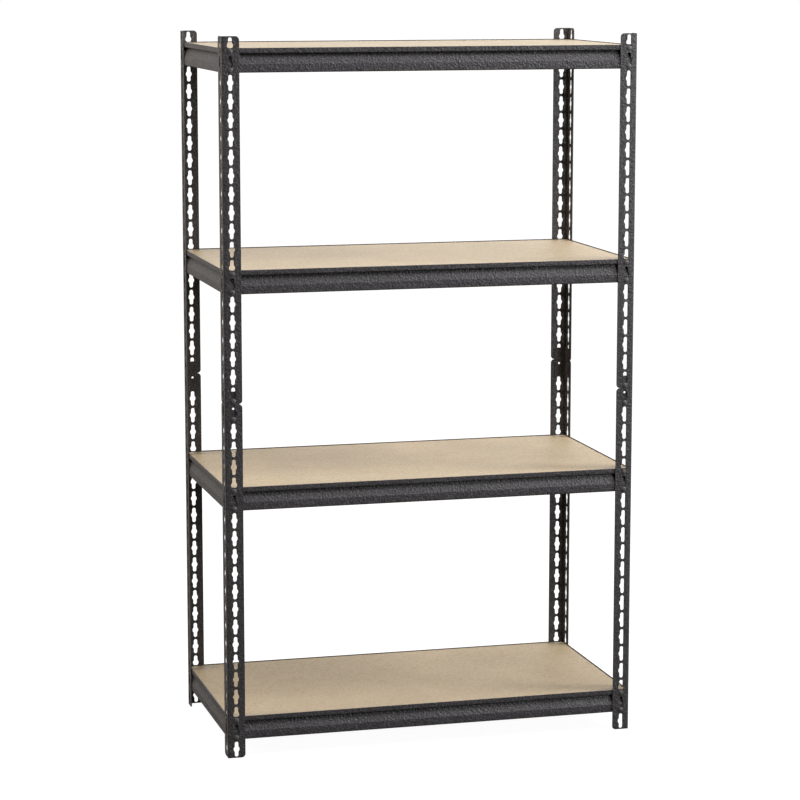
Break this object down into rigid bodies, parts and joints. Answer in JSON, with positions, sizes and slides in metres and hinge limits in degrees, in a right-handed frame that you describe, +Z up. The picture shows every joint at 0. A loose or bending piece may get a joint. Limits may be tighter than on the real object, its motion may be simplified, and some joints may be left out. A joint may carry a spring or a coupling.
{
  "type": "boltless steel shelving",
  "caption": "Free-standing boltless shelving: slotted angle posts in spliced halves, creased steel beams hung by rivets in keyhole slots, and lift-out particle-board decks.",
  "frame": {"origin": "on the floor, in the middle of the footprint", "axes": "+X along the front to the right, +Y to the rear, +Z up"},
  "size_m": [0.9038, 0.461, 1.524],
  "materials": {
    "post_paint": "charcoal hammertone powder coat on cold-formed steel sheet",
    "splice_paint": "charcoal powder coat on cold-formed steel sheet",
    "beam_paint": "charcoal hammertone powder coat on roll-formed steel sheet",
    "deck_board": "bare sanded particle board"
  },
  "bodies": {
    "root": {"front_left_lower_post": "post_paint", "front_left_upper_post": "post_paint", "front_left_splice": "splice_paint", "front_right_lower_post": "post_paint", "front_right_upper_post": "post_paint", "front_right_splice": "splice_paint", "rear_right_lower_post": "post_paint", "rear_right_upper_post": "post_paint", "rear_right_splice": "splice_paint", "rear_left_lower_post": "post_paint", "rear_left_upper_post": "post_paint", "rear_left_splice": "splice_paint"},
    "bottom_front_beam": {"bottom_front_beam": "beam_paint"},
    "bottom_rear_beam": {"bottom_rear_beam": "beam_paint"},
    "bottom_left_beam": {"bottom_left_beam": "beam_paint"},
    "bottom_right_beam": {"bottom_right_beam": "beam_paint"},
    "bottom_deck": {"bottom_deck": "deck_board"},
    "second_front_beam": {"second_front_beam": "beam_paint"},
    "second_rear_beam": {"second_rear_beam": "beam_paint"},
    "second_left_beam": {"second_left_beam": "beam_paint"},
    "second_right_beam": {"second_right_beam": "beam_paint"},
    "second_deck": {"second_deck": "deck_board"},
    "third_front_beam": {"third_front_beam": "beam_paint"},
    "third_rear_beam": {"third_rear_beam": "beam_paint"},
    "third_left_beam": {"third_left_beam": "beam_paint"},
    "third_right_beam": {"third_right_beam": "beam_paint"},
    "third_deck": {"third_deck": "deck_board"},
    "top_front_beam": {"top_front_beam": "beam_paint"},
    "top_rear_beam": {"top_rear_beam": "beam_paint"},
    "top_left_beam": {"top_left_beam": "beam_paint"},
    "top_right_beam": {"top_right_beam": "beam_paint"},
    "top_deck": {"top_deck": "deck_board"}
  },
  "joints": [
    {"name": "bottom_front_beam_lift", "type": "slide", "parent": "root", "child": "bottom_front_beam", "axis": [0, 0, 1], "range_m": [0, 0.0127]},
    {"name": "bottom_rear_beam_lift", "type": "slide", "parent": "root", "child": "bottom_rear_beam", "axis": [0, 0, 1], "range_m": [0, 0.0127]},
    {"name": "bottom_left_beam_lift", "type": "slide", "parent": "root", "child": "bottom_left_beam", "axis": [0, 0, 1], "range_m": [0, 0.0127]},
    {"name": "bottom_right_beam_lift", "type": "slide", "parent": "root", "child": "bottom_right_beam", "axis": [0, 0, 1], "range_m": [0, 0.0127]},
    {"name": "bottom_deck_lift", "type": "slide", "parent": "bottom_front_beam", "child": "bottom_deck", "axis": [0, 0, 1], "range_m": [0, 0.42]},
    {"name": "second_front_beam_lift", "type": "slide", "parent": "root", "child": "second_front_beam", "axis": [0, 0, 1], "range_m": [0, 0.0127]},
    {"name": "second_rear_beam_lift", "type": "slide", "parent": "root", "child": "second_rear_beam", "axis": [0, 0, 1], "range_m": [0, 0.0127]},
    {"name": "second_left_beam_lift", "type": "slide", "parent": "root", "child": "second_left_beam", "axis": [0, 0, 1], "range_m": [0, 0.0127]},
    {"name": "second_right_beam_lift", "type": "slide", "parent": "root", "child": "second_right_beam", "axis": [0, 0, 1], "range_m": [0, 0.0127]},
    {"name": "second_deck_lift", "type": "slide", "parent": "second_front_beam", "child": "second_deck", "axis": [0, 0, 1], "range_m": [0, 0.38]},
    {"name": "third_front_beam_lift", "type": "slide", "parent": "root", "child": "third_front_beam", "axis": [0, 0, 1], "range_m": [0, 0.0127]},
    {"name": "third_rear_beam_lift", "type": "slide", "parent": "root", "child": "third_rear_beam", "axis": [0, 0, 1], "range_m": [0, 0.0127]},
    {"name": "third_left_beam_lift", "type": "slide", "parent": "root", "child": "third_left_beam", "axis": [0, 0, 1], "range_m": [0, 0.0127]},
    {"name": "third_right_beam_lift", "type": "slide", "parent": "root", "child": "third_right_beam", "axis": [0, 0, 1], "range_m": [0, 0.0127]},
    {"name": "third_deck_lift", "type": "slide", "parent": "third_front_beam", "child": "third_deck", "axis": [0, 0, 1], "range_m": [0, 0.38]},
    {"name": "top_front_beam_lift", "type": "slide", "parent": "root", "child": "top_front_beam", "axis": [0, 0, 1], "range_m": [0, 0.0127]},
    {"name": "top_rear_beam_lift", "type": "slide", "parent": "root", "child": "top_rear_beam", "axis": [0, 0, 1], "range_m": [0, 0.0127]},
    {"name": "top_left_beam_lift", "type": "slide", "parent": "root", "child": "top_left_beam", "axis": [0, 0, 1], "range_m": [0, 0.0127]},
    {"name": "top_right_beam_lift", "type": "slide", "parent": "root", "child": "top_right_beam", "axis": [0, 0, 1], "range_m": [0, 0.0127]},
    {"name": "top_deck_lift", "type": "slide", "parent": "top_front_beam", "child": "top_deck", "axis": [0, 0, 1], "range_m": [0, 0.3]}
  ],
  "couplings": [
    {"joint": "bottom_rear_beam_lift", "follows": "bottom_front_beam_lift", "ratio": 1},
    {"joint": "bottom_left_beam_lift", "follows": "bottom_front_beam_lift", "ratio": 1},
    {"joint": "bottom_right_beam_lift", "follows": "bottom_front_beam_lift", "ratio": 1},
    {"joint": "second_rear_beam_lift", "follows": "second_front_beam_lift", "ratio": 1},
    {"joint": "second_left_beam_lift", "follows": "second_front_beam_lift", "ratio": 1},
    {"joint": "second_right_beam_lift", "follows": "second_front_beam_lift", "ratio": 1},
    {"joint": "third_rear_beam_lift", "follows": "third_front_beam_lift", "ratio": 1},
    {"joint": "third_left_beam_lift", "follows": "third_front_beam_lift", "ratio": 1},
    {"joint": "third_right_beam_lift", "follows": "third_front_beam_lift", "ratio": 1},
    {"joint": "top_rear_beam_lift", "follows": "top_front_beam_lift", "ratio": 1},
    {"joint": "top_left_beam_lift", "follows": "top_front_beam_lift", "ratio": 1},
    {"joint": "top_right_beam_lift", "follows": "top_front_beam_lift", "ratio": 1}
  ]
}
